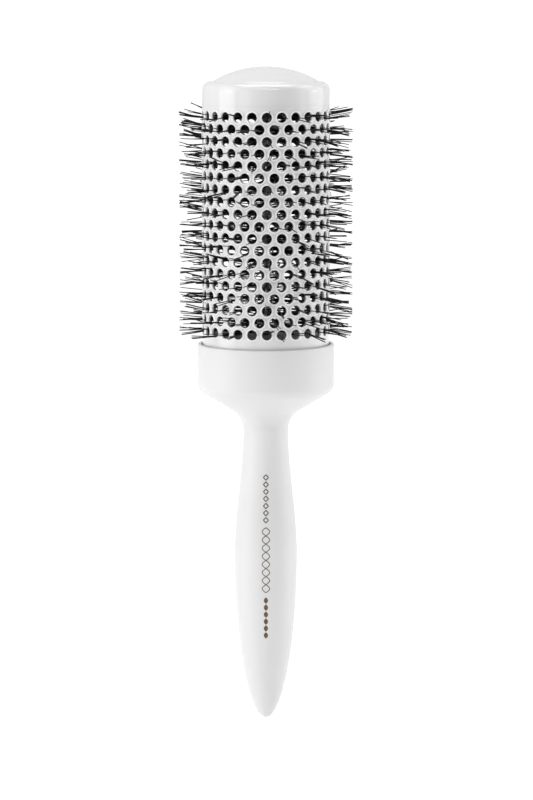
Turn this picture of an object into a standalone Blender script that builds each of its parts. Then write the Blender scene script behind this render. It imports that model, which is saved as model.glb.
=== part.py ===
"""Round barrel hair brush: a perforated barrel on a moulded handle, with a bristle insert inside.

The brush stands upright, its axis on Z. The origin is on the axis at the thickest part of the grip.
The bristle insert is a twisted pair of wires that holds the nylon filaments. Its upper end is pressed
into the end cap and its lower end into the handle, so the wires clamp cap, barrel and handle together.
"""

import math

import bmesh
import bpy

MM = 0.001

# Barrel: a perforated tube, with every other row of holes turned by half a hole pitch.
BARREL_RADIUS = 25.4 * MM
BARREL_WALL = 1.0 * MM
HOLE_ROWS = 19
HOLES_PER_ROW = 27
HOLE_PITCH = math.tau / HOLES_PER_ROW
FIRST_HOLE_TURN = math.radians(-89.1)
ROW_PITCH = 4.75 * MM
HOLE_RADIUS = 1.95 * MM

# Bristle insert.
BRISTLE_REACH = 34.8 * MM
HUB_RADIUS = 4.0 * MM
HUB_BORE_RADIUS = 2.4 * MM
TUFTS_PER_BORE_SIDE = 3
HUB_THICKNESS = 0.9 * MM
WIRE_RADIUS = 0.9 * MM
WIRE_SPACING = 2.1 * MM
WIRE_LAY = 14.0 * MM
WIRE_STEPS_PER_TURN = 8
STEM_BORE_RADIUS = 2.3 * MM

# Heights above the tip of the handle.
GRIP_HEIGHT = 69.5 * MM
BORE_END_HEIGHT = 38.0 * MM
WIRE_BOTTOM = 112.0 * MM
NECK_HEIGHT = 118.1 * MM
COLLAR_FLOOR = 143.2 * MM
RIM_HEIGHT = 153.5 * MM
LOWEST_ROW = 159.45 * MM
BARREL_TOP = 249.3 * MM
WIRE_TOP = 255.5 * MM
DOME_TOP = 264.2 * MM

# Handle, with its collar.
GRIP_RADIUS = 12.56 * MM
NECK_RADIUS = 8.87 * MM
# Powers of the wave between grip and neck: a low first one leaves the grip early, a high second one
# reaches the neck softly.
WAVE_START = 1.6
WAVE_END = 1.8
NECK_FILLET = 10.0 * MM
CONE_ANGLE = math.radians(58.5)
COLLAR_RADIUS = 27.35 * MM
COLLAR_FILLET = 4.5 * MM
RIM_ROUNDING = 0.5 * MM
RIM_GAP = 0.7 * MM
RIM_GAP_DEPTH = 3.0 * MM
HANDLE_BORE_RADIUS = 4.5 * MM

# End cap.
DOME_RADIUS = 41.5 * MM
DOME_EDGE_RADIUS = 21.4 * MM
LEDGE_DROP = 0.3 * MM
CAP_CORNER = 2.7 * MM
CAP_WALL = 2.0 * MM
CAP_LIP_LENGTH = 1.6 * MM
CAP_LIP_WALL = 1.5 * MM
CAP_BOSS_RADIUS = 4.5 * MM
CAP_BOSS_BOTTOM = 246.6 * MM

# Base plug, which closes the lower end of the barrel.
PLUG_TOP = 157.0 * MM
PLUG_DISC = 2.0 * MM
PLUG_SKIRT = 1.8 * MM
PLUG_HUB_RADIUS = 5.0 * MM
PLUG_HUB_LENGTH = 11.0 * MM

FIT_GAP = 0.3 * MM
BARREL_BOTTOM = COLLAR_FLOOR + FIT_GAP

TURNED_SEGMENTS = 32
SMOOTH_ANGLE = math.radians(35)

WHITE_SATIN = ((0.86, 0.86, 0.86), 0.45, 0.0)
WHITE_GLOSS = ((0.88, 0.88, 0.88), 0.18, 0.0)
WHITE_COATING = ((0.87, 0.87, 0.87), 0.3, 0.0)
GREY_PLASTIC = ((0.55, 0.55, 0.55), 0.5, 0.0)
BLACK_NYLON = ((0.012, 0.012, 0.012), 0.35, 0.0)
BRIGHT_STEEL = ((0.6, 0.6, 0.6), 0.3, 1.0)


def clear_scene():
    for obj in list(bpy.data.objects):
        bpy.data.objects.remove(obj)


def finish(obj, look):
    """Gives the object its own material and links it, lowered so that the grip is at the origin."""
    colour, roughness, metallic = look
    material = bpy.data.materials.new(obj.name)
    material.use_nodes = True
    shader = material.node_tree.nodes["Principled BSDF"]
    shader.inputs["Base Color"].default_value = (*colour, 1.0)
    shader.inputs["Roughness"].default_value = roughness
    shader.inputs["Metallic"].default_value = metallic
    obj.data.materials.append(material)
    obj.location.z -= GRIP_HEIGHT
    bpy.context.scene.collection.objects.link(obj)
    return obj


def mesh_object(name, bm, look, recalculate=True):
    if recalculate:
        bmesh.ops.recalc_face_normals(bm, faces=bm.faces)
    mesh = bpy.data.meshes.new(name)
    bm.to_mesh(mesh)
    bm.free()
    mesh.shade_smooth()
    mesh.set_sharp_from_angle(angle=SMOOTH_ANGLE)
    return finish(bpy.data.objects.new(name, mesh), look)


def arc(centre, radius, start, end, steps):
    """Points (radius, height) along an arc, with angles from the outward direction, in radians."""
    points = []
    for i in range(steps + 1):
        angle = start + (end - start) * i / steps
        points.append((centre[0] + radius * math.cos(angle), centre[1] + radius * math.sin(angle)))
    return points


def turned(name, outline, look, closed_ring=False, segments=TURNED_SEGMENTS):
    """Spins an outline of (radius, height) points round Z. A closed ring's outline joins up with itself."""
    bm = bmesh.new()
    verts = [bm.verts.new((radius, 0.0, height)) for radius, height in outline]
    edges = [bm.edges.new(pair) for pair in zip(verts, verts[1:])]
    if closed_ring:
        edges.append(bm.edges.new((verts[-1], verts[0])))
    bmesh.ops.spin(
        bm,
        geom=verts + edges,
        cent=(0.0, 0.0, 0.0),
        axis=(0.0, 0.0, 1.0),
        angle=math.tau,
        steps=segments,
        use_merge=True,
    )
    bmesh.ops.remove_doubles(bm, verts=bm.verts, dist=0.001 * MM)
    return mesh_object(name, bm, look)


def grip_outline(lower_steps=9, upper_steps=7):
    """The grip: half an ellipse from the tip up to its thickest part, then a soft wave up to the neck."""
    points = []
    for i in range(lower_steps + 1):
        angle = 0.5 * math.pi * i / lower_steps
        points.append((GRIP_RADIUS * math.sin(angle), GRIP_HEIGHT * (1.0 - math.cos(angle))))
    for i in range(1, upper_steps + 1):
        share = i / upper_steps
        swell = (1.0 - share**WAVE_START) ** WAVE_END
        radius = NECK_RADIUS + (GRIP_RADIUS - NECK_RADIUS) * swell
        points.append((radius, GRIP_HEIGHT + (NECK_HEIGHT - GRIP_HEIGHT) * share))
    return points


def collar_outline():
    """Outside of the collar: a hollow fillet at the neck, a straight cone, a round corner and the wall."""
    neck_centre = (NECK_RADIUS + NECK_FILLET, NECK_HEIGHT)
    neck = arc(neck_centre, NECK_FILLET, math.pi, math.pi - CONE_ANGLE, 5)
    corner_radius = COLLAR_RADIUS - COLLAR_FILLET
    foot_radius = corner_radius + COLLAR_FILLET * math.cos(CONE_ANGLE)
    foot_height = neck[-1][1] + (foot_radius - neck[-1][0]) / math.tan(CONE_ANGLE)
    corner_centre = (corner_radius, foot_height + COLLAR_FILLET * math.sin(CONE_ANGLE))
    corner = arc(corner_centre, COLLAR_FILLET, -CONE_ANGLE, 0.0, 4)
    rim_centre = (COLLAR_RADIUS - RIM_ROUNDING, RIM_HEIGHT - RIM_ROUNDING)
    rim = arc(rim_centre, RIM_ROUNDING, 0.0, 0.5 * math.pi, 2)
    return neck[1:] + corner + rim


def build_handle():
    """Grip and collar in one moulding, with a socket for the barrel and a deep bore for the stem plug."""
    wide = BARREL_RADIUS + RIM_GAP
    narrow = BARREL_RADIUS + FIT_GAP
    step = RIM_HEIGHT - RIM_GAP_DEPTH
    socket = [(wide, RIM_HEIGHT), (wide, step), (narrow, step), (narrow, COLLAR_FLOOR)]
    bore = [
        (HANDLE_BORE_RADIUS, COLLAR_FLOOR),
        (HANDLE_BORE_RADIUS, BORE_END_HEIGHT + HANDLE_BORE_RADIUS),
        (0.0, BORE_END_HEIGHT),
    ]
    return turned("handle", grip_outline() + collar_outline() + socket + bore, WHITE_SATIN)


def build_end_cap():
    """Domed cap with a rounded shoulder, a short lip inside the barrel and a boss for the wire ends."""
    dome_centre = (0.0, DOME_TOP - DOME_RADIUS)
    edge_angle = math.acos(DOME_EDGE_RADIUS / DOME_RADIUS)
    dome = arc(dome_centre, DOME_RADIUS, 0.5 * math.pi, edge_angle, 6)
    shoulder = dome[-1][1] - LEDGE_DROP
    corner = arc((BARREL_RADIUS - CAP_CORNER, shoulder - CAP_CORNER), CAP_CORNER, 0.5 * math.pi, 0.0, 4)
    lip_outside = BARREL_RADIUS - BARREL_WALL - FIT_GAP
    lip_inside = lip_outside - CAP_LIP_WALL
    lip_bottom = BARREL_TOP - CAP_LIP_LENGTH
    seam = BARREL_TOP + FIT_GAP
    lip = [
        (BARREL_RADIUS, seam),
        (lip_outside, seam),
        (lip_outside, lip_bottom),
        (lip_inside, lip_bottom),
    ]
    inner_radius = DOME_RADIUS - CAP_WALL
    roof_edge = math.acos(lip_inside / inner_radius)
    roof = arc(dome_centre, inner_radius, roof_edge, math.acos(CAP_BOSS_RADIUS / inner_radius), 4)
    boss = [
        (CAP_BOSS_RADIUS, CAP_BOSS_BOTTOM),
        (STEM_BORE_RADIUS, CAP_BOSS_BOTTOM),
        (STEM_BORE_RADIUS, WIRE_TOP + FIT_GAP),
        (0.0, WIRE_TOP + FIT_GAP),
    ]
    return turned("end_cap", dome + corner + lip + roof + boss, WHITE_GLOSS)


def build_base_plug():
    """Cup that fills the barrel's lower end. Its hub guides the wire stem down into the handle."""
    outside = BARREL_RADIUS - BARREL_WALL - FIT_GAP
    under = PLUG_TOP - PLUG_DISC
    skirt_bottom = BARREL_BOTTOM + FIT_GAP
    hub_bottom = PLUG_TOP - PLUG_HUB_LENGTH
    outline = [
        (STEM_BORE_RADIUS, PLUG_TOP),
        (outside, PLUG_TOP),
        (outside, skirt_bottom),
        (outside - PLUG_SKIRT, skirt_bottom),
        (outside - PLUG_SKIRT, under),
        (PLUG_HUB_RADIUS, under),
        (PLUG_HUB_RADIUS, hub_bottom),
        (STEM_BORE_RADIUS, hub_bottom),
    ]
    return turned("base_plug", outline, GREY_PLASTIC, closed_ring=True)


def build_stem_plug():
    """Tube pressed into the top of the handle's bore, which grips the lower end of the twisted wires."""
    outside = HANDLE_BORE_RADIUS - FIT_GAP
    bottom = NECK_HEIGHT
    top = COLLAR_FLOOR - FIT_GAP
    outline = [(STEM_BORE_RADIUS, top), (outside, top), (outside, bottom), (STEM_BORE_RADIUS, bottom)]
    return turned("stem_plug", outline, GREY_PLASTIC, closed_ring=True, segments=20)


def row_turn(row):
    """The angle of a row's first hole. Odd rows sit half a hole pitch round from even ones."""
    return FIRST_HOLE_TURN + 0.5 * HOLE_PITCH * (row % 2)


def row_height(row):
    """Height of a row of holes above the handle's tip. Row 0 is the highest."""
    return LOWEST_ROW + (HOLE_ROWS - 1 - row) * ROW_PITCH


def build_barrel():
    """The outer skin of the barrel, with four-sided holes, thickened inwards by a Solidify modifier."""
    bm = bmesh.new()
    # A four-sided hole of this half diagonal has the area of the round one.
    half_diagonal = HOLE_RADIUS * math.sqrt(0.5 * math.pi)
    half_width = half_diagonal / BARREL_RADIUS

    def point(angle, height):
        return bm.verts.new((BARREL_RADIUS * math.cos(angle), BARREL_RADIUS * math.sin(angle), height))

    def plain_ring(row, height):
        turn = row_turn(row)
        return [point(turn + HOLE_PITCH * k, height) for k in range(HOLES_PER_ROW)]

    left, right, top, bottom = [], [], [], []
    for row in range(HOLE_ROWS):
        turn, height = row_turn(row), row_height(row)
        angles = [turn + HOLE_PITCH * k for k in range(HOLES_PER_ROW)]
        left.append([point(a - half_width, height) for a in angles])
        right.append([point(a + half_width, height) for a in angles])
        top.append([point(a, height + half_diagonal) for a in angles])
        bottom.append([point(a, height - half_diagonal) for a in angles])

    # Each row's web, together with the row below it, whose holes lie half a pitch round.
    for row in range(HOLE_ROWS - 1):
        under = row + 1
        ahead = row % 2
        for k in range(HOLES_PER_ROW):
            after = (k + ahead) % HOLES_PER_ROW
            before = (after - 1) % HOLES_PER_ROW
            bm.faces.new((bottom[row][k], left[under][after], top[under][after], right[row][k]))
            bm.faces.new((left[row][k], top[under][before], right[under][before], bottom[row][k]))
            bm.faces.new((bottom[row][k], right[under][before], left[under][after]))
            bm.faces.new((right[row][k], top[under][after], left[row][(k + 1) % HOLES_PER_ROW]))

    # Plain bands at both ends, each up to a ring with a point above or below every hole.
    last = HOLE_ROWS - 1
    ends = ((0, top, BARREL_TOP, 1), (last, bottom, BARREL_BOTTOM, -1))
    for row, corner, height, side in ends:
        ring = plain_ring(row, height)
        for k in range(HOLES_PER_ROW):
            n = (k + 1) % HOLES_PER_ROW
            band = [
                (left[row][k], corner[row][k], ring[k]),
                (corner[row][k], right[row][k], ring[k]),
                (right[row][k], left[row][n], ring[n], ring[k]),
            ]
            for face in band:
                bm.faces.new(face if side < 0 else face[::-1])

    barrel = mesh_object("barrel", bm, WHITE_COATING)
    wall = barrel.modifiers.new("wall", "SOLIDIFY")
    wall.thickness = BARREL_WALL
    wall.offset = -1.0
    return barrel


def build_wire(name, turn):
    """One strand of the twisted pair, a helix round the axis."""
    curve = bpy.data.curves.new(name, "CURVE")
    curve.dimensions = "3D"
    curve.bevel_depth = WIRE_RADIUS
    curve.bevel_resolution = 1
    curve.use_fill_caps = True
    turns = (WIRE_TOP - WIRE_BOTTOM) / WIRE_LAY
    steps = round(turns * WIRE_STEPS_PER_TURN)
    spline = curve.splines.new("POLY")
    spline.points.add(steps)
    for i, point in enumerate(spline.points):
        share = i / steps
        angle = turn + math.tau * turns * share
        height = WIRE_BOTTOM + (WIRE_TOP - WIRE_BOTTOM) * share
        out = 0.5 * WIRE_SPACING
        point.co = (out * math.cos(angle), out * math.sin(angle), height, 1.0)
    return finish(bpy.data.objects.new(name, curve), BRIGHT_STEEL)


def build_bristle_row(row):
    """One ring of bristles: a thin hub round the wires, drawn out into a tapered tuft through every hole."""
    bm = bmesh.new()
    turn, middle = row_turn(row), row_height(row)
    low, high = middle - 0.5 * HUB_THICKNESS, middle + 0.5 * HUB_THICKNESS

    def point(radius, angle, height):
        return bm.verts.new((radius * math.cos(angle), radius * math.sin(angle), height))

    edges = [turn + HOLE_PITCH * (k - 0.5) for k in range(HOLES_PER_ROW)]
    outer_low = [point(HUB_RADIUS, a, low) for a in edges]
    outer_high = [point(HUB_RADIUS, a, high) for a in edges]
    inner_low = [point(HUB_BORE_RADIUS, a, low) for a in edges[::TUFTS_PER_BORE_SIDE]]
    inner_high = [point(HUB_BORE_RADIUS, a, high) for a in edges[::TUFTS_PER_BORE_SIDE]]
    for k in range(HOLES_PER_ROW):
        n = (k + 1) % HOLES_PER_ROW
        tip = point(BRISTLE_REACH, turn + HOLE_PITCH * k, middle)
        ring = [outer_low[k], outer_low[n], outer_high[n], outer_high[k]]
        for a, b in zip(ring, ring[1:] + ring[:1]):
            bm.faces.new((a, b, tip))
    for j in range(len(inner_low)):
        m = (j + 1) % len(inner_low)
        first = TUFTS_PER_BORE_SIDE * j
        around = [(first + i) % HOLES_PER_ROW for i in range(TUFTS_PER_BORE_SIDE + 1)]
        bm.faces.new([inner_high[j]] + [outer_high[k] for k in around] + [inner_high[m]])
        bm.faces.new([inner_low[m]] + [outer_low[k] for k in around[::-1]] + [inner_low[j]])
        bm.faces.new((inner_low[j], inner_high[j], inner_high[m], inner_low[m]))
    return mesh_object(f"bristle_row_{row + 1:02d}", bm, BLACK_NYLON)


def main():
    clear_scene()
    build_handle()
    build_stem_plug()
    build_base_plug()
    build_barrel()
    build_end_cap()
    build_wire("core_wire_a", 0.0)
    build_wire("core_wire_b", math.pi)
    for row in range(HOLE_ROWS):
        build_bristle_row(row)


main()
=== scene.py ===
"""Looks of the round barrel brush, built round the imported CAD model.

Every piece is in metres in the CAD model's frame: +Z up the brush's axis, -Y towards the camera.
Lengths given in millimetres are multiplied by MM. Heights are measured from the tip of the handle.
"""

import math

import bpy
import numpy as np
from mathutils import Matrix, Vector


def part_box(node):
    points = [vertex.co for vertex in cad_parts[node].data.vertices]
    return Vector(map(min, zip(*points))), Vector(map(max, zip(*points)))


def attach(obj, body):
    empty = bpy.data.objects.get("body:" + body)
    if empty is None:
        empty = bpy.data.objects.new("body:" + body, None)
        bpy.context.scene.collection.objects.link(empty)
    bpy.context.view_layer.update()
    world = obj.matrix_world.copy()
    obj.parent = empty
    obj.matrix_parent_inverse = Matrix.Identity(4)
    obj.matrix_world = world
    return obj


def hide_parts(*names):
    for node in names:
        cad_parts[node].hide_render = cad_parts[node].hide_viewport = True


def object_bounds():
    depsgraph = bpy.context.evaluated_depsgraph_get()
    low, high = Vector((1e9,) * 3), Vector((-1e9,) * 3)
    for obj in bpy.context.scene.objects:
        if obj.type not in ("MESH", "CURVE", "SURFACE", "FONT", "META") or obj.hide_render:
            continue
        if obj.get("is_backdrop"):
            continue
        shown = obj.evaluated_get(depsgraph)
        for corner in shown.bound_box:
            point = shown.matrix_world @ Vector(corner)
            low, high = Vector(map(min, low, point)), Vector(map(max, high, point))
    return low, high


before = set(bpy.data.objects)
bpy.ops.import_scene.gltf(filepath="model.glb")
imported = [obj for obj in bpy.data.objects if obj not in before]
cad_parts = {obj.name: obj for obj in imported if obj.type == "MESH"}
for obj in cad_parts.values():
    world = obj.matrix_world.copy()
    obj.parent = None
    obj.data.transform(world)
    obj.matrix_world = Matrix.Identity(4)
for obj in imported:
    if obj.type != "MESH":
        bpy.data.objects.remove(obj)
CAD_LOW, CAD_HIGH = (list(corner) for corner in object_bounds())

MM = 0.001
BODY = "root"
TIP = CAD_LOW[2]

# Read from the frame.
HANDLE_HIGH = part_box("handle")[1]
BARREL_LOW, BARREL_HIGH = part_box("barrel")
STEM_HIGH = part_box("stem_plug")[1]
WIRE_LOW, WIRE_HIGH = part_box("core_wire_a")
ROW_NODES = sorted(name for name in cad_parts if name.startswith("bristle_row_"))
COLLAR_RADIUS = HANDLE_HIGH.x
RIM = HANDLE_HIGH.z - TIP
BARREL_RADIUS = BARREL_HIGH.x
BARREL_TOP = BARREL_HIGH.z - TIP
BARREL_BOTTOM = BARREL_LOW.z - TIP
DOME_TOP = CAD_HIGH[2] - TIP
BRISTLE_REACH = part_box(ROW_NODES[1])[1].x

# Grip and collar, as in the CAD model.
GRIP_HEIGHT = -TIP
GRIP_RADIUS = 12.56 * MM
NECK_HEIGHT = 118.1 * MM
NECK_RADIUS = 8.87 * MM
WAVE_START = 1.6
WAVE_END = 1.8
NECK_FILLET = 10.0 * MM
CONE_ANGLE = math.radians(58.5)
COLLAR_FILLET = 4.5 * MM
RIM_ROUNDING = 0.5 * MM
RIM_EDGE = 0.15 * MM
RIM_GAP = 0.7 * MM
RIM_GAP_DEPTH = 3.0 * MM
FIT_GAP = 0.3 * MM

# End cap.
DOME_RADIUS = 41.5 * MM
DOME_EDGE_RADIUS = 21.4 * MM
# Round the dome's foot, the surface drops a little and runs level to the shoulder.
LEDGE_DROP = 0.15 * MM
LEDGE_BLEND = 0.35 * MM
# The shoulder falls away outwards, steeply at first and then ever more gently into the wall.
SHOULDER_WIDTH = 2.3 * MM
SHOULDER_DEPTH = 4.4 * MM
SHOULDER_POWER = 4.0
CAP_WALL = 2.0 * MM
CAP_SEAM = 0.02 * MM
CAP_LIP_LENGTH = 1.6 * MM
CAP_LIP_WALL = 1.5 * MM

# Barrel.
BARREL_WALL = 1.0 * MM
HOLES_PER_ROW = 27
HOLE_PITCH = math.tau / HOLES_PER_ROW
FIRST_HOLE_TURN = math.radians(-89.1)
HOLE_RADIUS = 1.95 * MM
# Each hole's edge, from the flat web inwards, in millimetres: distance outside the hole's radius, height
# above the web.
LIP_PROFILE = (
    (0.68, 0.0),
    (0.5, 0.16),
    (0.28, 0.24),
    (0.05, 0.1),
    (0.0, -0.5),
    (0.0, -1.0),
)
HOLE_SIDES = 24

# Bristles.
FILAMENT_RADIUS = 0.205 * MM
FILAMENT_SIDES = 6
FILAMENT_STEPS = 8
FILAMENTS_PER_HOLE = (1, 2, 3, 4)
FILAMENT_ODDS = (0.18, 0.4, 0.29, 0.13)
TRIM_SLACK = 0.25 * MM
CORE_RADIUS = 1.9 * MM
# Standard deviations, first from tuft to tuft and then from filament to filament in a tuft: the place in
# the hole as a share of its radius, the slopes sideways and upwards outside the barrel, and the root's
# turn, in radians, and height, in millimetres, on the core.
TUFT_PLACE = 0.42
TUFT_LEAN = 0.15
TUFT_RISE = 0.07
TUFT_ROOT_TURN = 0.45
TUFT_ROOT_HEIGHT = 1.6
FILAMENT_PLACE = 0.16
FILAMENT_LEAN = 0.05
FILAMENT_RISE = 0.045
FILAMENT_ROOT_TURN = 0.15
FILAMENT_ROOT_HEIGHT = 0.3
# A filament stays within this share of the hole's radius.
PLACE_LIMIT = 0.85
# Outside the barrel, bristles on its left lean up by this slope and those on its right lean down by it.
SIDE_DROOP = 0.07
# On both sides, the top row also spreads upwards by this slope.
TOP_SPLAY = 0.22

# Core wires, as in the CAD model.
WIRE_RADIUS = 0.9 * MM
WIRE_SPACING = 2.1 * MM
WIRE_LAY = 14.0 * MM
WIRE_SIDES = 12
WIRE_STEPS_PER_TURN = 24

# Around each turned piece.
TURNED_SEGMENTS = 192


# ---------------------------------------------------------------- mesh helpers


def mesh_piece(name, verts, faces, material, smooth_angle=40.0):
    """A new object with that mesh, smooth but for edges sharper than smooth_angle, riding on the body."""
    mesh = bpy.data.meshes.new(name)
    mesh.from_pydata(verts, [], faces)
    mesh.validate()
    mesh.shade_smooth()
    mesh.set_sharp_from_angle(angle=math.radians(smooth_angle))
    mesh.materials.append(material)
    piece = bpy.data.objects.new(name, mesh)
    bpy.context.scene.collection.objects.link(piece)
    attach(piece, BODY)
    return piece


def arc(centre, radius, start, end, steps):
    """Points (radius, height) along an arc, with angles from the outward direction, in radians."""
    points = []
    for i in range(steps + 1):
        angle = start + (end - start) * i / steps
        points.append((centre[0] + radius * math.cos(angle), centre[1] + radius * math.sin(angle)))
    return points


def turned_mesh(outline, segments=TURNED_SEGMENTS):
    """Vertices and faces of a closed outline spun round Z. The outline starts and ends on the axis."""
    verts = [(0.0, 0.0, TIP + outline[0][1])]
    faces = []
    rings = outline[1:-1]
    for radius, height in rings:
        for k in range(segments):
            angle = math.tau * k / segments
            verts.append((radius * math.cos(angle), radius * math.sin(angle), TIP + height))
    verts.append((0.0, 0.0, TIP + outline[-1][1]))
    last = len(verts) - 1
    for k in range(segments):
        n = (k + 1) % segments
        faces.append((0, 1 + n, 1 + k))
        for j in range(len(rings) - 1):
            low, high = 1 + j * segments, 1 + (j + 1) * segments
            faces.append((low + k, low + n, high + n, high + k))
        top = 1 + (len(rings) - 1) * segments
        faces.append((last, top + k, top + n))
    return verts, faces


def tube_mesh(centres, radii, sides):
    """Vertices and faces of a closed tube along a line of points, with a radius at each point."""
    centres = np.asarray(centres)
    ahead = np.gradient(centres, axis=0)
    ahead /= np.linalg.norm(ahead, axis=1)[:, None]
    side = np.cross(ahead[0], (0.0, 0.0, 1.0) if abs(ahead[0][2]) < 0.9 else (1.0, 0.0, 0.0))
    angles = math.tau * np.arange(sides) / sides
    rings = []
    for centre, direction, radius in zip(centres, ahead, radii):
        side = side - direction * np.dot(side, direction)
        side /= np.linalg.norm(side)
        other = np.cross(direction, side)
        rings.append(centre + radius * (np.outer(np.cos(angles), side) + np.outer(np.sin(angles), other)))
    verts = np.concatenate(rings)
    faces = []
    for j in range(len(rings) - 1):
        for k in range(sides):
            n = (k + 1) % sides
            faces.append((j * sides + k, j * sides + n, (j + 1) * sides + n, (j + 1) * sides + k))
    faces.append(tuple(range(sides))[::-1])
    faces.append(tuple((len(rings) - 1) * sides + k for k in range(sides)))
    return verts, faces


def join_meshes(parts):
    """One list of vertices and one of faces out of several (vertices, faces) pairs."""
    verts, faces = [], []
    for part_verts, part_faces in parts:
        base = len(verts)
        verts.extend(tuple(map(float, v)) for v in part_verts)
        faces.extend(tuple(base + i for i in face) for face in part_faces)
    return verts, faces


# ---------------------------------------------------------------- materials

WHITE = 0.785
# A greyer white, whose greyness is painted shade on the barrel's web between the holes' lips.
PAINTED_SHADE_WHITE = 0.75
# A whiter white, whose whiteness is a painted highlight on the lips round the barrel's holes.
PAINTED_HIGHLIGHT_WHITE = 0.93


def new_material(name, colour, roughness, metallic=0.0):
    material = bpy.data.materials.new(name)
    material.use_nodes = True
    shader = material.node_tree.nodes["Principled BSDF"]
    shader.inputs["Base Color"].default_value = (*colour, 1.0)
    shader.inputs["Roughness"].default_value = roughness
    shader.inputs["Metallic"].default_value = metallic
    return material, shader


def noise(material, scale, detail=2.0, stretch=(1.0, 1.0, 1.0)):
    """A noise texture in object space. Its features are about 1/scale metres wide."""
    nodes, links = material.node_tree.nodes, material.node_tree.links
    coordinates = nodes.new("ShaderNodeTexCoord")
    mapping = nodes.new("ShaderNodeMapping")
    mapping.inputs["Scale"].default_value = stretch
    texture = nodes.new("ShaderNodeTexNoise")
    texture.inputs["Scale"].default_value = scale
    texture.inputs["Detail"].default_value = detail
    links.new(coordinates.outputs["Object"], mapping.inputs["Vector"])
    links.new(mapping.outputs["Vector"], texture.inputs["Vector"])
    return texture.outputs["Fac"]


def vary(material, factor, socket, low, high):
    """Drives a number socket of the shader between low and high by a 0 to 1 factor."""
    nodes, links = material.node_tree.nodes, material.node_tree.links
    spread = nodes.new("ShaderNodeMapRange")
    spread.inputs["From Min"].default_value = 0.3
    spread.inputs["From Max"].default_value = 0.7
    spread.inputs["To Min"].default_value = low
    spread.inputs["To Max"].default_value = high
    links.new(factor, spread.inputs["Value"])
    links.new(spread.outputs["Result"], socket)


def vary_colour(material, factor, shader, low, high):
    """Blends the base colour between two colours by a 0 to 1 factor."""
    nodes, links = material.node_tree.nodes, material.node_tree.links
    ramp = nodes.new("ShaderNodeValToRGB")
    ramp.color_ramp.elements[0].position = 0.3
    ramp.color_ramp.elements[0].color = (*low, 1.0)
    ramp.color_ramp.elements[1].position = 0.7
    ramp.color_ramp.elements[1].color = (*high, 1.0)
    links.new(factor, ramp.inputs["Fac"])
    links.new(ramp.outputs["Color"], shader.inputs["Base Color"])


def bump(material, shader, height, distance, strength=1.0):
    nodes, links = material.node_tree.nodes, material.node_tree.links
    node = nodes.new("ShaderNodeBump")
    node.inputs["Strength"].default_value = strength
    node.inputs["Distance"].default_value = distance
    links.new(height, node.inputs["Height"])
    links.new(node.outputs["Normal"], shader.inputs["Normal"])


def white_moulding(name, tone, roughness, grain_size, grain_depth):
    """White plastic or enamel: nearly even, with a trace of tone and polish, and a fine skin."""
    colour = (tone, tone, tone)
    material, shader = new_material(name, colour, roughness)
    broad = noise(material, 60.0)
    vary_colour(material, broad, shader, tuple(0.985 * c for c in colour), colour)
    polish = noise(material, 150.0, 4.0)
    vary(material, polish, shader.inputs["Roughness"], roughness - 0.03, roughness + 0.03)
    bump(material, shader, noise(material, 1.0 / grain_size, 3.0), grain_depth)
    return material


def handle_plastic():
    return white_moulding("white_satin_plastic", WHITE, 0.36, 0.6 * MM, 0.004 * MM)


def add_gloss(material, roughness):
    """A clear glossy coat over a material."""
    shader = material.node_tree.nodes["Principled BSDF"]
    shader.inputs["Coat Weight"].default_value = 1.0
    shader.inputs["Coat Roughness"].default_value = roughness
    shader.inputs["Coat IOR"].default_value = 1.65


def cap_plastic():
    material = white_moulding("white_gloss_plastic", WHITE, 0.2, 6.0 * MM, 0.004 * MM)
    add_gloss(material, 0.08)
    return material


def barrel_coating(name, tone):
    material = white_moulding(name, tone, 0.25, 6.0 * MM, 0.004 * MM)
    add_gloss(material, 0.1)
    return material


def shade_darkened_aluminium():
    """The inside of the barrel: dull bare metal, darkened as painted shade, drawn lengthwise."""
    material, shader = new_material("shade_darkened_aluminium", (0.2, 0.2, 0.2), 0.45, 1.0)
    drawn = noise(material, 900.0, 3.0, (1.0, 1.0, 0.08))
    vary_colour(material, drawn, shader, (0.15, 0.15, 0.15), (0.26, 0.26, 0.26))
    vary(material, drawn, shader.inputs["Roughness"], 0.38, 0.52)
    return material


def bristle_nylon():
    material, shader = new_material("black_nylon", (0.006, 0.006, 0.006), 0.4)
    shader.inputs["Specular IOR Level"].default_value = 0.2
    vary_colour(material, noise(material, 400.0), shader, (0.003, 0.003, 0.003), (0.01, 0.01, 0.01))
    vary(material, noise(material, 900.0), shader.inputs["Roughness"], 0.32, 0.48)
    return material


def steel_wire():
    material, shader = new_material("galvanised_wire", (0.26, 0.26, 0.26), 0.38, 1.0)
    vary_colour(material, noise(material, 700.0, 3.0), shader, (0.2, 0.2, 0.2), (0.34, 0.34, 0.33))
    drawn = noise(material, 1500.0, 2.0, (1.0, 1.0, 0.1))
    vary(material, drawn, shader.inputs["Roughness"], 0.3, 0.48)
    bump(material, shader, drawn, 0.01 * MM, 0.4)
    return material


def inner_plastic():
    material, shader = new_material("grey_inner_plastic", (0.55, 0.55, 0.55), 0.5)
    vary_colour(material, noise(material, 120.0), shader, (0.5, 0.5, 0.5), (0.58, 0.58, 0.58))
    bump(material, shader, noise(material, 1500.0, 3.0), 0.01 * MM)
    return material


def bronze_foil():
    material, shader = new_material("bronze_foil", (0.14, 0.09, 0.05), 0.4, 0.5)
    vary_colour(material, noise(material, 900.0, 4.0), shader, (0.1, 0.062, 0.034), (0.19, 0.125, 0.075))
    vary(material, noise(material, 2500.0, 2.0), shader.inputs["Roughness"], 0.3, 0.45)
    return material


# ---------------------------------------------------------------- handle


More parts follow.
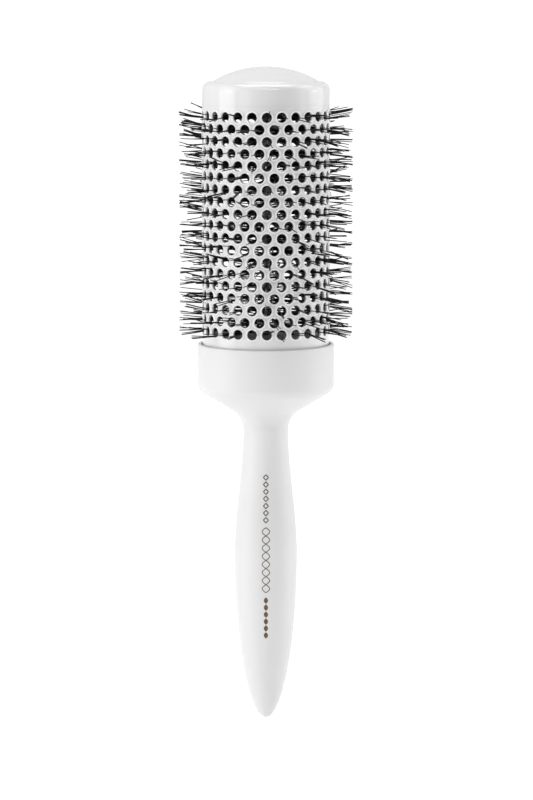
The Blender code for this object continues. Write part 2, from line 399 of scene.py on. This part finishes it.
def grip_radius(height):
    """Outside radius of the grip at a height: half an ellipse, then a soft wave up to the neck."""
    if height <= GRIP_HEIGHT:
        depth = 1.0 - height / GRIP_HEIGHT
        return GRIP_RADIUS * math.sqrt(max(0.0, 1.0 - depth * depth))
    share = (height - GRIP_HEIGHT) / (NECK_HEIGHT - GRIP_HEIGHT)
    return NECK_RADIUS + (GRIP_RADIUS - NECK_RADIUS) * (1.0 - share**WAVE_START) ** WAVE_END


def handle_outline():
    """Grip, neck, cone, collar wall and rim, then down the socket and across to the axis."""
    grip = []
    steps = 40
    for i in range(steps + 1):
        height = GRIP_HEIGHT * (1.0 - math.cos(0.5 * math.pi * i / steps))
        grip.append((grip_radius(height), height))
    for i in range(1, steps):
        height = GRIP_HEIGHT + (NECK_HEIGHT - GRIP_HEIGHT) * i / steps
        grip.append((grip_radius(height), height))
    neck = arc((NECK_RADIUS + NECK_FILLET, NECK_HEIGHT), NECK_FILLET, math.pi, math.pi - CONE_ANGLE, 16)
    corner_radius = COLLAR_RADIUS - COLLAR_FILLET
    foot_radius = corner_radius + COLLAR_FILLET * math.cos(CONE_ANGLE)
    foot_height = neck[-1][1] + (foot_radius - neck[-1][0]) / math.tan(CONE_ANGLE)
    corner_centre = (corner_radius, foot_height + COLLAR_FILLET * math.sin(CONE_ANGLE))
    corner = arc(corner_centre, COLLAR_FILLET, -CONE_ANGLE, 0.0, 12)
    rim = arc((COLLAR_RADIUS - RIM_ROUNDING, RIM - RIM_ROUNDING), RIM_ROUNDING, 0.0, 0.5 * math.pi, 8)
    wide = BARREL_RADIUS + RIM_GAP
    edge = arc((wide + RIM_EDGE, RIM - RIM_EDGE), RIM_EDGE, 0.5 * math.pi, math.pi, 4)
    step = RIM - RIM_GAP_DEPTH
    narrow = BARREL_RADIUS + FIT_GAP
    floor = STEM_HIGH.z - TIP + FIT_GAP
    socket = [(wide, step), (narrow, step), (narrow, floor), (0.0, floor)]
    return grip + neck + corner + rim + edge + socket


def build_handle(material):
    verts, faces = turned_mesh(handle_outline())
    piece = mesh_piece("handle_shell", verts, faces, material)
    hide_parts("handle")


# ---------------------------------------------------------------- end cap


def cap_shoulder(top, steps=20):
    """From the ledge's outer edge down to the wall."""
    points = []
    for i in range(steps + 1):
        share = (i / steps) ** 1.5
        inset = SHOULDER_WIDTH * (1.0 - share) ** SHOULDER_POWER
        points.append((BARREL_RADIUS - inset, top - SHOULDER_DEPTH * share))
    return points


def cap_outline():
    """Dome, ledge, shoulder and wall, then the lip inside the barrel and up under the dome."""
    centre = (0.0, DOME_TOP - DOME_RADIUS)
    edge_angle = math.acos(DOME_EDGE_RADIUS / DOME_RADIUS)
    dome = arc(centre, DOME_RADIUS, 0.5 * math.pi, edge_angle, 32)
    dome[0] = (0.0, DOME_TOP)
    shoulder = dome[-1][1] - LEDGE_DROP
    ledge = [
        (DOME_EDGE_RADIUS + 0.4 * LEDGE_BLEND, dome[-1][1] - 0.75 * LEDGE_DROP),
        (DOME_EDGE_RADIUS + LEDGE_BLEND, shoulder),
    ]
    corner = cap_shoulder(shoulder)
    seam = BARREL_TOP + CAP_SEAM
    lip_outside = BARREL_RADIUS - BARREL_WALL - FIT_GAP
    lip_inside = lip_outside - CAP_LIP_WALL
    lip_bottom = BARREL_TOP - CAP_LIP_LENGTH
    lip = [(BARREL_RADIUS, seam), (lip_outside, seam), (lip_outside, lip_bottom), (lip_inside, lip_bottom)]
    inner = DOME_RADIUS - CAP_WALL
    roof = arc(centre, inner, math.acos(lip_inside / inner), 0.5 * math.pi, 12)
    roof[-1] = (0.0, roof[-1][1])
    return dome + ledge + corner + lip + roof


def build_end_cap(material):
    verts, faces = turned_mesh(cap_outline()[::-1])
    piece = mesh_piece("end_cap_shell", verts, faces, material)
    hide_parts("end_cap")


# ---------------------------------------------------------------- barrel

# Looks, as the places of the barrel's materials.
# The web is greyed as painted shade, the lips are whitened as a painted highlight, and the bare metal is
# darkened as painted shade.
PLAIN, WEB, LIP, BARE_PAINTED_SHADE = range(4)
# The looks of the bands between the rings round a hole: the web, the lip's three, the hole's wall in two,
# and the inner skin.
BAND_LOOKS = (WEB, LIP, LIP, LIP, PLAIN, BARE_PAINTED_SHADE, BARE_PAINTED_SHADE)


def row_turn(row):
    """The angle of a row's first hole. Every other row sits half a hole pitch round."""
    return FIRST_HOLE_TURN + 0.5 * HOLE_PITCH * (row % 2)


def row_heights():
    """Heights of the hole rows above the tip, from the top row down."""
    heights = []
    for node in ROW_NODES:
        low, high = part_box(node)
        heights.append(0.5 * (low.z + high.z) - TIP)
    return heights


def cell_outline(row_pitch):
    """The six-sided cell round one hole of a staggered grid, as HOLE_SIDES points (across, up)."""
    half = 0.5 * HOLE_PITCH * BARREL_RADIUS
    reach = (half * half + row_pitch * row_pitch) / (2.0 * row_pitch)
    shoulder = reach - half * half / row_pitch
    corners = [
        (0, reach),
        (half, shoulder),
        (half, -shoulder),
        (0, -reach),
        (-half, -shoulder),
        (-half, shoulder),
    ]
    per_edge = HOLE_SIDES // 6
    points = []
    for here, there in zip(corners, corners[1:] + corners[:1]):
        for i in range(per_edge):
            share = i / per_edge
            points.append((here[0] + share * (there[0] - here[0]), here[1] + share * (there[1] - here[1])))
    return points


def on_barrel(turn, height, across, up, rise):
    """A point of the barrel's wall, by its place round a hole's centre and its rise above the skin."""
    angle = turn + across / BARREL_RADIUS
    radius = BARREL_RADIUS + rise
    return (radius * math.cos(angle), radius * math.sin(angle), TIP + height + up)


def barrel_rings(row_pitch):
    """Rings of (across, up, rise) round one hole, from the outer skin's cell to the inner skin's."""
    cell = cell_outline(row_pitch)
    rings = [[(across, up, 0.0) for across, up in cell]]
    for spread, rise in LIP_PROFILE:
        radius = HOLE_RADIUS + spread * MM
        ring = []
        for i in range(HOLE_SIDES):
            angle = math.tau * i / HOLE_SIDES
            ring.append((radius * math.sin(angle), radius * math.cos(angle), rise * MM))
        rings.append(ring)
    rings.append([(across, up, -BARREL_WALL) for across, up in cell])
    return rings


def barrel_mesh():
    """Vertices, faces, and for each face which of the barrel's looks it has."""
    heights = row_heights()
    row_pitch = heights[0] - heights[1]
    rings = barrel_rings(row_pitch)
    index, verts, faces, looks = {}, [], [], []

    def vert(turn, height, across, up, rise):
        """The vertex there, shared with the cells that meet in it."""
        point = on_barrel(turn, height, across, up, rise)
        key = tuple(round(c / (0.002 * MM)) for c in point)
        for nearby in ((0, 0, 0), (1, 0, 0), (-1, 0, 0), (0, 1, 0), (0, -1, 0), (0, 0, 1), (0, 0, -1)):
            found = index.get((key[0] + nearby[0], key[1] + nearby[1], key[2] + nearby[2]))
            if found is not None:
                return found
        index[key] = len(verts)
        verts.append(point)
        return index[key]

    for row, height in enumerate(heights):
        for k in range(HOLES_PER_ROW):
            turn = row_turn(row) + HOLE_PITCH * k
            loops = [[vert(turn, height, *point) for point in ring] for ring in rings]
            for j, (outer, inner) in enumerate(zip(loops, loops[1:])):
                for i in range(HOLE_SIDES):
                    n = (i + 1) % HOLE_SIDES
                    faces.append((outer[i], inner[i], inner[n], outer[n]))
                    looks.append(BAND_LOOKS[j])

    add_plain_ends(vert, faces, looks, heights, rings)
    return verts, faces, looks


def add_plain_ends(vert, faces, looks, heights, rings):
    """The plain bands above the top row and below the bottom row, and the barrel's two end faces."""
    cell = rings[0]
    quarter = HOLE_SIDES // 6
    upper = cell[-quarter:] + cell[: quarter + 1]
    lower = cell[2 * quarter : 4 * quarter + 1][::-1]
    ends = (
        (0, upper, BARREL_TOP - heights[0], 1),
        (len(heights) - 1, lower, BARREL_BOTTOM - heights[-1], -1),
    )
    for row, zigzag, end, side in ends:
        height = heights[row]
        for k in range(HOLES_PER_ROW):
            turn = row_turn(row) + HOLE_PITCH * k
            for here, there in zip(zigzag, zigzag[1:]):
                rim = []
                for rise in (0.0, -BARREL_WALL):
                    a = vert(turn, height, here[0], here[1], rise)
                    b = vert(turn, height, there[0], there[1], rise)
                    c = vert(turn, height, there[0], end, rise)
                    d = vert(turn, height, here[0], end, rise)
                    outward = (rise == 0.0) == (side > 0)
                    faces.append((a, b, c, d) if outward else (d, c, b, a))
                    looks.append(PLAIN if rise == 0.0 else BARE_PAINTED_SHADE)
                    rim.append((c, d))
                (c, d), (e, f) = rim
                faces.append((d, c, e, f) if side > 0 else (f, e, c, d))
                looks.append(BARE_PAINTED_SHADE)


def build_barrel(plain, web, lip, bare):
    """The barrel is coated outside and a way into the holes, and bare from there on and inside. The web's
    grey and the bare metal's darkness are painted shade, and the lips' white is a painted highlight.
    """
    verts, faces, looks = barrel_mesh()
    piece = mesh_piece("barrel_shell", verts, faces, plain, 50.0)
    for material in (web, lip, bare):
        piece.data.materials.append(material)
    piece.data.polygons.foreach_set("material_index", looks)
    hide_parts("barrel")


# ---------------------------------------------------------------- bristle insert


def cylinder_point(radius, angle, height):
    return np.array((radius * math.cos(angle), radius * math.sin(angle), TIP + height))


def tuft(rng, turn, height, splay):
    """The filaments that leave through the hole at that angle and height, side by side most of the way."""
    sideways = np.array((-math.sin(turn), math.cos(turn), 0.0))
    upwards = np.array((0.0, 0.0, 1.0))
    rise = -SIDE_DROOP * math.cos(turn) + splay * math.cos(turn) ** 2
    lean = sideways * rng.normal(0.0, TUFT_LEAN) + upwards * rng.normal(rise, TUFT_RISE)
    middle = rng.normal(0.0, TUFT_PLACE, 2) * HOLE_RADIUS
    tuft_root_turn = turn + rng.normal(0.0, TUFT_ROOT_TURN)
    tuft_root_height = height + rng.normal(0.0, TUFT_ROOT_HEIGHT) * MM
    parts = []
    for _ in range(rng.choice(FILAMENTS_PER_HOLE, p=FILAMENT_ODDS)):
        across, up = middle + rng.normal(0.0, FILAMENT_PLACE, 2) * HOLE_RADIUS
        shrink = min(1.0, PLACE_LIMIT * HOLE_RADIUS / math.hypot(across, up))
        hole = cylinder_point(BARREL_RADIUS, turn + shrink * across / BARREL_RADIUS, height + shrink * up)
        root_turn = tuft_root_turn + rng.normal(0.0, FILAMENT_ROOT_TURN)
        root_height = tuft_root_height + rng.normal(0.0, FILAMENT_ROOT_HEIGHT) * MM
        root = cylinder_point(CORE_RADIUS, root_turn, root_height)
        stray = sideways * rng.normal(0.0, FILAMENT_LEAN) + upwards * rng.normal(0.0, FILAMENT_RISE)
        parts.append(filament(rng, root, hole, lean + stray))
    return parts


def filament(rng, root, hole, lean):
    """One nylon filament: from the core, through a hole, to its tip, leaning by that much outside.

    All tips are trimmed to one cylinder, give or take TRIM_SLACK. The curve is a quadratic one that
    passes through the hole.
    """
    heading = (hole - root) / np.linalg.norm(hole - root) + lean
    reach = BRISTLE_REACH - rng.uniform(0.0, TRIM_SLACK)
    ahead = np.dot(heading[:2], heading[:2])
    slant = np.dot(hole[:2], heading[:2])
    depth = np.dot(hole[:2], hole[:2]) - reach * reach
    tip = hole + heading * (math.sqrt(slant * slant - ahead * depth) - slant) / ahead
    inside = np.linalg.norm(hole - root)
    t = inside / (inside + np.linalg.norm(tip - hole))
    bend = (hole - (1.0 - t) ** 2 * root - t * t * tip) / (2.0 * t * (1.0 - t))
    shares = np.linspace(0.0, 1.0, FILAMENT_STEPS)[:, None]
    centres = (1.0 - shares) ** 2 * root + 2.0 * shares * (1.0 - shares) * bend + shares**2 * tip
    thickness = FILAMENT_RADIUS * rng.uniform(0.9, 1.1)
    radii = [thickness] * (FILAMENT_STEPS - 1) + [0.8 * thickness]
    return tube_mesh(centres, radii, FILAMENT_SIDES)


def build_bristles(material):
    for row, (node, height) in enumerate(zip(ROW_NODES, row_heights())):
        rng = np.random.default_rng(1000 + row)
        parts = []
        for k in range(HOLES_PER_ROW):
            parts += tuft(rng, row_turn(row) + HOLE_PITCH * k, height, TOP_SPLAY if row == 0 else 0.0)
        verts, faces = join_meshes(parts)
        piece = mesh_piece(f"bristles_{row + 1:02d}", verts, faces, material)
        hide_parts(node)


def build_plugs(material):
    """The two hidden plugs keep their CAD shape."""
    for node in ("stem_plug", "base_plug"):
        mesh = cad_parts[node].data
        mesh.materials.clear()
        mesh.materials.append(material)


def build_wires(material):
    """The two strands of the twisted core."""
    length = WIRE_HIGH.z - WIRE_LOW.z
    turns = length / WIRE_LAY
    steps = round(turns * WIRE_STEPS_PER_TURN)
    for letter, start in (("a", 0.0), ("b", math.pi)):
        centres = []
        for i in range(steps + 1):
            angle = start + math.tau * turns * i / steps
            height = WIRE_LOW.z - TIP + length * i / steps
            centres.append(cylinder_point(0.5 * WIRE_SPACING, angle, height))
        verts, faces = tube_mesh(centres, [WIRE_RADIUS] * len(centres), WIRE_SIDES)
        piece = mesh_piece(f"wire_strand_{letter}", verts.tolist(), faces, material)
        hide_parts(f"core_wire_{letter}")


# ---------------------------------------------------------------- foil ornament

# The foil stands this far above the grip and reaches this far below its surface.
FOIL_RISE = 0.03 * MM
FOIL_DEPTH = 0.06 * MM
FRONT = -0.5 * math.pi
DIAMONDS = 7
DIAMONDS_TOP = 101.8 * MM
DIAMOND_PITCH = 2.85 * MM
DIAMOND_LENGTH = 2.2 * MM
DIAMOND_WIDTH = 2.0 * MM
DIAMOND_STROKE = 0.42 * MM
BRAID_TOP = 80.3 * MM
BRAID_BOTTOM = 53.8 * MM
BRAID_HALF_WIDTH = 1.5 * MM
BRAID_WAVES = 4
BRAID_STEPS = 25
BRAID_STROKE = 0.34 * MM
LEAVES = 6
LEAVES_TOP = 52.0 * MM
LEAF_PITCH = 2.9 * MM
LEAF_LENGTH = 2.7 * MM
LEAF_WIDTH = 1.7 * MM


def on_grip(across, height, rise):
    """A point on the front of the grip, across to the right of its middle line."""
    radius = grip_radius(height)
    angle = FRONT + across / radius
    return cylinder_point(radius + rise, angle, height)


def foil_band(line, width, closed=False):
    """A thin band of foil along a line of (across, height) points on the grip."""
    line = np.asarray(line)
    if closed:
        ahead = np.roll(line, -1, axis=0) - np.roll(line, 1, axis=0)
    else:
        ahead = np.gradient(line, axis=0)
    ahead /= np.linalg.norm(ahead, axis=1)[:, None]
    normal = np.stack((-ahead[:, 1], ahead[:, 0]), axis=1)
    section = ((0.5, FOIL_RISE), (-0.5, FOIL_RISE), (-0.5, -FOIL_DEPTH), (0.5, -FOIL_DEPTH))
    verts, faces = [], []
    for point, side in zip(line, normal):
        for across_side, rise in section:
            across, height = point + side * width * across_side
            verts.append(on_grip(across, height, rise))
    count = len(line)
    for j in range(count if closed else count - 1):
        here, there = 4 * j, 4 * ((j + 1) % count)
        for k in range(4):
            n = (k + 1) % 4
            faces.append((here + k, here + n, there + n, there + k))
    if not closed:
        faces.append((0, 3, 2, 1))
        end = 4 * (count - 1)
        faces.append((end, end + 1, end + 2, end + 3))
    return verts, faces


def foil_leaf(height, length, width, steps=12, columns=6):
    """A filled pointed leaf, lying along the grip and following its curve."""
    verts, faces = [], []
    for i in range(steps + 1):
        share = 2.0 * i / steps - 1.0
        level = height + 0.5 * length * share
        half = max(0.02 * MM, 0.5 * width * (1.0 - share * share))
        for rise in (FOIL_RISE, -FOIL_DEPTH):
            for k in range(columns + 1):
                verts.append(on_grip(half * (1.0 - 2.0 * k / columns), level, rise))
    ring = list(range(columns + 1)) + list(range(2 * columns + 1, columns, -1))
    count = len(ring)
    for j in range(steps):
        here, there = count * j, count * (j + 1)
        for k in range(count):
            n = (k + 1) % count
            faces.append((here + ring[k], here + ring[n], there + ring[n], there + ring[k]))
    faces.append(tuple(ring)[::-1])
    faces.append(tuple(count * steps + k for k in ring))
    return verts, faces


def diamond(height, length, width, steps=4):
    """The (across, height) points of a diamond's outline."""
    corners = [
        (0.0, height + 0.5 * length),
        (0.5 * width, height),
        (0.0, height - 0.5 * length),
        (-0.5 * width, height),
    ]
    line = []
    for here, there in zip(corners, corners[1:] + corners[:1]):
        for i in range(steps):
            share = i / steps
            line.append((here[0] + share * (there[0] - here[0]), here[1] + share * (there[1] - here[1])))
    return line


def build_foil(material):
    """A plain ornament down the front of the grip: open diamonds, a two-strand braid and leaves."""
    diamonds = []
    for i in range(DIAMONDS):
        outline = diamond(DIAMONDS_TOP - DIAMOND_PITCH * (i + 0.5), DIAMOND_LENGTH, DIAMOND_WIDTH)
        diamonds.append(foil_band(outline, DIAMOND_STROKE, closed=True))
    braid = []
    for side in (1.0, -1.0):
        line = []
        for i in range(BRAID_STEPS * BRAID_WAVES + 1):
            share = i / (BRAID_STEPS * BRAID_WAVES)
            across = side * BRAID_HALF_WIDTH * math.sin(math.tau * BRAID_WAVES * share)
            line.append((across, BRAID_TOP + (BRAID_BOTTOM - BRAID_TOP) * share))
        braid.append(foil_band(line, BRAID_STROKE))
    leaves = []
    for i in range(LEAVES):
        leaves.append(foil_leaf(LEAVES_TOP - LEAF_PITCH * (i + 0.5), LEAF_LENGTH, LEAF_WIDTH))
    for name, parts in (("foil_diamonds", diamonds), ("foil_braid", braid), ("foil_leaves", leaves)):
        verts, faces = join_meshes(parts)
        mesh_piece(name, verts, faces, material)


# ---------------------------------------------------------------- set, lights and camera

FLOOR_HALF_WIDTH = 6.0
# How far the floor lies below the handle's tip.
FLOOR_DEPTH = 0.35
# The floor's glow grows from the first strength to the second between two distances from its middle.
FLOOR_GLOW = (0.15, 0.5)
FLOOR_GLOW_REACH = (0.5, 1.1)

# The even light of the studio has a dark upright gap, in front of the brush and to the right. The light
# is in layers of (brightness, the angle from the gap's middle up to which the layer is dark, the angle
# from which it is full).
GAP_AZIMUTH = math.radians(31.0)
STUDIO_LAYERS = (
    (0.34, math.radians(8.0), math.radians(25.0)),
    (0.44, math.radians(15.0), math.radians(60.0)),
)


# Each soft light's name, azimuth, elevation, distance, width, height and power. Azimuth 0 is the camera's
# side, and 90 is to its right.
SOFTBOXES = (
    ("left_softbox", -75.0, 10.0, 1.6, 1.0, 1.6, 5.0),
    ("left_front_softbox", -40.0, 10.0, 1.6, 0.5, 1.6, 1.0),
    ("right_softbox", 105.0, 10.0, 1.6, 1.2, 1.6, 4.0),
    ("right_front_softbox", 70.0, 10.0, 1.6, 0.3, 1.6, 0.8),
    ("low_left_softbox", -75.0, -25.0, 1.6, 1.0, 0.5, 2.6),
    ("low_right_softbox", 95.0, -25.0, 1.6, 1.0, 0.5, 13.0),
    ("top_softbox", 180.0, 82.0, 1.4, 1.0, 0.8, 4.8),
    ("top_left_softbox", -100.0, 50.0, 1.6, 0.8, 0.5, 0.7),
    ("top_front_softbox", 5.0, 42.0, 1.4, 0.8, 0.1, 2.4),
    ("left_lamp", -68.0, 7.0, 1.5, 0.35, 0.12, 0.28),
    ("right_lamp", 96.0, 7.0, 1.5, 0.3, 0.12, 0.3),
    ("top_right_softbox", 105.0, 50.0, 1.6, 0.8, 0.5, 1.8),
)

# The camera's place: its shift to the right, its distance, its height and the height that it looks at.
CAMERA_LENS = 148.3
CAMERA_SHIFT = 0.24 * MM
CAMERA_DISTANCE = 1316.5 * MM
CAMERA_HEIGHT = 304.5 * MM
CAMERA_AIM = 130.4 * MM


def build_floor():
    """A plain white floor, well below the brush, that glows away from it so that it stays white."""
    half, level = FLOOR_HALF_WIDTH, TIP - FLOOR_DEPTH
    corners = [(-half, -half, level), (half, -half, level), (half, half, level), (-half, half, level)]
    mesh = bpy.data.meshes.new("floor")
    mesh.from_pydata(corners, [], [(0, 1, 2, 3)])
    material, shader = new_material("white_floor", (0.8, 0.8, 0.8), 0.9)
    nodes, links = material.node_tree.nodes, material.node_tree.links
    coordinates = nodes.new("ShaderNodeTexCoord")
    reach = nodes.new("ShaderNodeVectorMath")
    reach.operation = "LENGTH"
    glow = nodes.new("ShaderNodeMapRange")
    glow.interpolation_type = "SMOOTHSTEP"
    glow.inputs["From Min"].default_value, glow.inputs["From Max"].default_value = FLOOR_GLOW_REACH
    glow.inputs["To Min"].default_value, glow.inputs["To Max"].default_value = FLOOR_GLOW
    links.new(coordinates.outputs["Object"], reach.inputs[0])
    links.new(reach.outputs["Value"], glow.inputs["Value"])
    links.new(glow.outputs["Result"], shader.inputs["Emission Strength"])
    shader.inputs["Emission Color"].default_value = (1.0, 1.0, 1.0, 1.0)
    mesh.materials.append(material)
    floor = bpy.data.objects.new("floor", mesh)
    bpy.context.scene.collection.objects.link(floor)
    floor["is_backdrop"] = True


def studio_light(nodes, links):
    """How bright the studio is in each direction: even, but for the dark upright gap."""
    direction = nodes.new("ShaderNodeTexCoord")
    level = nodes.new("ShaderNodeVectorMath")
    level.operation = "MULTIPLY"
    level.inputs[1].default_value = (1.0, 1.0, 0.0)
    unit = nodes.new("ShaderNodeVectorMath")
    unit.operation = "NORMALIZE"
    nearness = nodes.new("ShaderNodeVectorMath")
    nearness.operation = "DOT_PRODUCT"
    nearness.inputs[1].default_value = (math.sin(GAP_AZIMUTH), -math.cos(GAP_AZIMUTH), 0.0)
    total = nodes.new("ShaderNodeMath")
    total.operation = "ADD"
    links.new(direction.outputs["Generated"], level.inputs[0])
    links.new(level.outputs["Vector"], unit.inputs[0])
    links.new(unit.outputs["Vector"], nearness.inputs[0])
    for i, (brightness, inside, outside) in enumerate(STUDIO_LAYERS):
        layer = nodes.new("ShaderNodeMapRange")
        layer.interpolation_type = "SMOOTHSTEP"
        layer.inputs["From Min"].default_value = math.cos(outside)
        layer.inputs["From Max"].default_value = math.cos(inside)
        layer.inputs["To Min"].default_value = brightness
        layer.inputs["To Max"].default_value = 0.0
        links.new(nearness.outputs["Value"], layer.inputs["Value"])
        links.new(layer.outputs["Result"], total.inputs[i])
    return total.outputs["Value"]


def build_world():
    """White behind the brush, and an even light from all round."""
    world = bpy.data.worlds.new("studio")
    bpy.context.scene.world = world
    world.use_nodes = True
    nodes, links = world.node_tree.nodes, world.node_tree.links
    nodes.clear()
    path = nodes.new("ShaderNodeLightPath")
    around = nodes.new("ShaderNodeBackground")
    around.inputs["Color"].default_value = (1.0, 1.0, 1.0, 1.0)
    links.new(studio_light(nodes, links), around.inputs["Strength"])
    behind = nodes.new("ShaderNodeBackground")
    behind.inputs["Color"].default_value = (1.0, 1.0, 1.0, 1.0)
    behind.inputs["Strength"].default_value = 1.1
    mix = nodes.new("ShaderNodeMixShader")
    output = nodes.new("ShaderNodeOutputWorld")
    links.new(path.outputs["Is Camera Ray"], mix.inputs["Fac"])
    links.new(around.outputs["Background"], mix.inputs[1])
    links.new(behind.outputs["Background"], mix.inputs[2])
    links.new(mix.outputs["Shader"], output.inputs["Surface"])


def add_softbox(name, azimuth, elevation, distance, width, height, power):
    """A rectangular soft light aimed at the middle of the brush, by angles in degrees."""
    light = bpy.data.lights.new(name, "AREA")
    light.shape = "RECTANGLE"
    light.size = width
    light.size_y = height
    light.energy = power
    softbox = bpy.data.objects.new(name, light)
    turn, lift = math.radians(azimuth), math.radians(elevation)
    target = 0.5 * (CAD_LOW[2] + CAD_HIGH[2])
    softbox.location = (
        distance * math.sin(turn) * math.cos(lift),
        -distance * math.cos(turn) * math.cos(lift),
        target + distance * math.sin(lift),
    )
    softbox.rotation_euler = (0.5 * math.pi - lift, 0.0, turn)
    softbox.visible_camera = False
    bpy.context.scene.collection.objects.link(softbox)


def build_camera():
    data = bpy.data.cameras.new("camera")
    data.lens = CAMERA_LENS
    data.sensor_width = 36.0
    data.clip_end = 50.0
    camera = bpy.data.objects.new("camera", data)
    camera.location = (CAMERA_SHIFT, -CAMERA_DISTANCE, TIP + CAMERA_HEIGHT)
    downwards = math.atan2(CAMERA_HEIGHT - CAMERA_AIM, CAMERA_DISTANCE)
    camera.rotation_euler = (0.5 * math.pi - downwards, 0.0, 0.0)
    bpy.context.scene.collection.objects.link(camera)
    bpy.context.scene.camera = camera


def main():
    bpy.context.scene.view_settings.view_transform = "Standard"
    build_handle(handle_plastic())
    build_end_cap(cap_plastic())
    build_barrel(
        barrel_coating("white_ceramic_coating", WHITE),
        # The web's greyer coating is painted shade.
        barrel_coating("painted_shade_ceramic_coating", PAINTED_SHADE_WHITE),
        # The lips' whiter coating is a painted highlight.
        barrel_coating("painted_highlight_ceramic_coating", PAINTED_HIGHLIGHT_WHITE),
        # The bare metal inside is darkened as painted shade.
        shade_darkened_aluminium(),
    )
    build_bristles(bristle_nylon())
    build_wires(steel_wire())
    build_foil(bronze_foil())
    build_plugs(inner_plastic())
    build_floor()
    build_world()
    for softbox in SOFTBOXES:
        add_softbox(*softbox)
    build_camera()


main()
